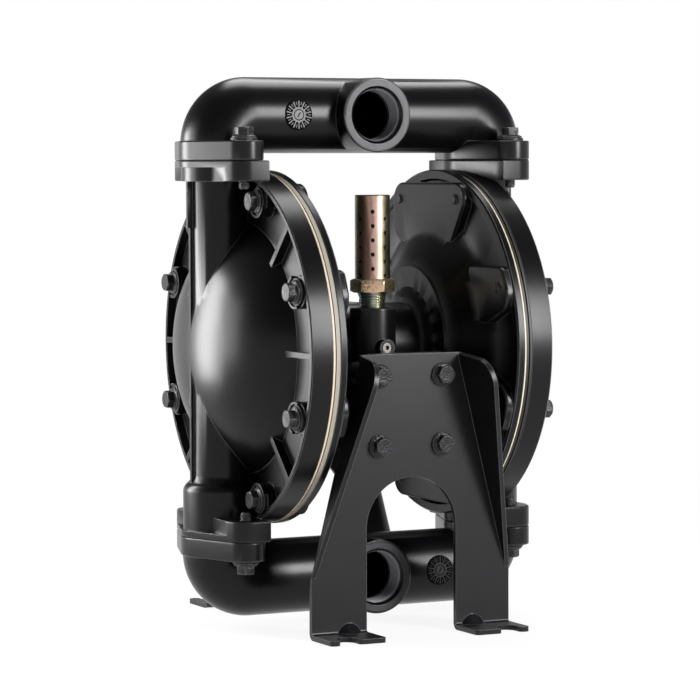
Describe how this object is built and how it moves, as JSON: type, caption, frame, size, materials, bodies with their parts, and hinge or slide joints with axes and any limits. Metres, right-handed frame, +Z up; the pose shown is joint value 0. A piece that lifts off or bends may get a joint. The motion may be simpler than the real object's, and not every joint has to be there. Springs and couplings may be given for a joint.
{
  "type": "air-operated double diaphragm pump",
  "caption": "Air-operated double diaphragm pump with ball checks, front ports top and bottom, upright exhaust silencer and two bent sheet foot brackets.",
  "frame": {"origin": "on the floor under the middle of the pump, feet standing on z = 0", "axes": "+X along the diaphragm rod towards the right-hand chamber as seen from the ports, +Y towards the air inlet at the back, +Z up"},
  "size_m": [0.341, 0.3294, 0.4963],
  "materials": {
    "casting_black": "satin black enamel over an as-cast skin",
    "bracket_black": "satin black powder coat",
    "bolt_black": "black oxide with a light oil film",
    "diaphragm_front": "cream sheet, edge only seen",
    "backing_rubber": "tan-grey moulded rubber",
    "zinc_yellow": "yellow chromate zinc plating",
    "steel_bright": "bright machined steel",
    "ball_rubber": "smooth moulded",
    "seat_steel": "turned",
    "bronze": "sintered bronze",
    "seal_rubber": "moulded",
    "packing_felt": "porous felt"
  },
  "bodies": {
    "casing": {"outlet_manifold": "casting_black", "inlet_manifold": "casting_black", "left_fluid_cap": "casting_black", "right_fluid_cap": "casting_black", "left_air_cap": "casting_black", "right_air_cap": "casting_black", "center_body": "casting_black", "left_valve_cover": "casting_black", "right_valve_cover": "casting_black", "front_foot_bracket": "bracket_black", "rear_foot_bracket": "bracket_black", "left_chamber_bolts": "bolt_black", "right_chamber_bolts": "bolt_black", "outlet_manifold_bolts": "bolt_black", "inlet_manifold_bolts": "bolt_black", "front_foot_bolts": "bolt_black", "rear_foot_bolts": "bolt_black", "left_chamber_washers": "bolt_black", "right_chamber_washers": "bolt_black", "outlet_manifold_washers": "bolt_black", "inlet_manifold_washers": "bolt_black", "left_hub_screws": "bolt_black", "right_hub_screws": "bolt_black", "valve_cover_screws": "bolt_black", "left_diaphragm": "diaphragm_front", "right_diaphragm": "diaphragm_front", "left_backup_diaphragm": "backing_rubber", "right_backup_diaphragm": "backing_rubber", "silencer_fitting": "zinc_yellow", "silencer_tube": "zinc_yellow", "plug_screw": "steel_bright", "left_inlet_seat": "seat_steel", "right_inlet_seat": "seat_steel", "left_outlet_seat": "seat_steel", "right_outlet_seat": "seat_steel", "rod_bushings": "bronze", "valve_sleeve": "bronze", "rod_seals": "seal_rubber", "inlet_seat_seals": "seal_rubber", "outlet_seat_seals": "seal_rubber", "left_valve_gasket": "seal_rubber", "right_valve_gasket": "seal_rubber", "silencer_packing": "packing_felt"},
    "rod_assembly": {"diaphragm_rod": "steel_bright", "left_air_plate": "steel_bright", "right_air_plate": "steel_bright", "left_fluid_plate": "steel_bright", "right_fluid_plate": "steel_bright"},
    "pilot": {"pilot_rod": "steel_bright"},
    "spool": {"valve_spool": "steel_bright"},
    "left_inlet_check": {"left_inlet_ball": "ball_rubber"},
    "right_inlet_check": {"right_inlet_ball": "ball_rubber"},
    "left_outlet_check": {"left_outlet_ball": "ball_rubber"},
    "right_outlet_check": {"right_outlet_ball": "ball_rubber"}
  },
  "joints": [
    {"name": "rod_slide", "type": "slide", "parent": "casing", "child": "rod_assembly", "axis": [1, 0, 0], "range_m": [-0.012, 0.012], "deforming": ["left_diaphragm", "right_diaphragm", "left_backup_diaphragm", "right_backup_diaphragm"]},
    {"name": "pilot_slide", "type": "slide", "parent": "casing", "child": "pilot", "axis": [1, 0, 0], "range_m": [-0.005, 0.005]},
    {"name": "spool_slide", "type": "slide", "parent": "casing", "child": "spool", "axis": [1, 0, 0], "range_m": [-0.006, 0.006]},
    {"name": "left_inlet_lift", "type": "slide", "parent": "casing", "child": "left_inlet_check", "axis": [0, 0, 1], "range_m": [0, 0.01]},
    {"name": "right_inlet_lift", "type": "slide", "parent": "casing", "child": "right_inlet_check", "axis": [0, 0, 1], "range_m": [0, 0.01]},
    {"name": "left_outlet_lift", "type": "slide", "parent": "casing", "child": "left_outlet_check", "axis": [0, 0, 1], "range_m": [0, 0.01]},
    {"name": "right_outlet_lift", "type": "slide", "parent": "casing", "child": "right_outlet_check", "axis": [0, 0, 1], "range_m": [0, 0.01]}
  ],
  "couplings": [
    {"joint": "pilot_slide", "follows": "rod_slide", "ratio": 0.41667}
  ]
}
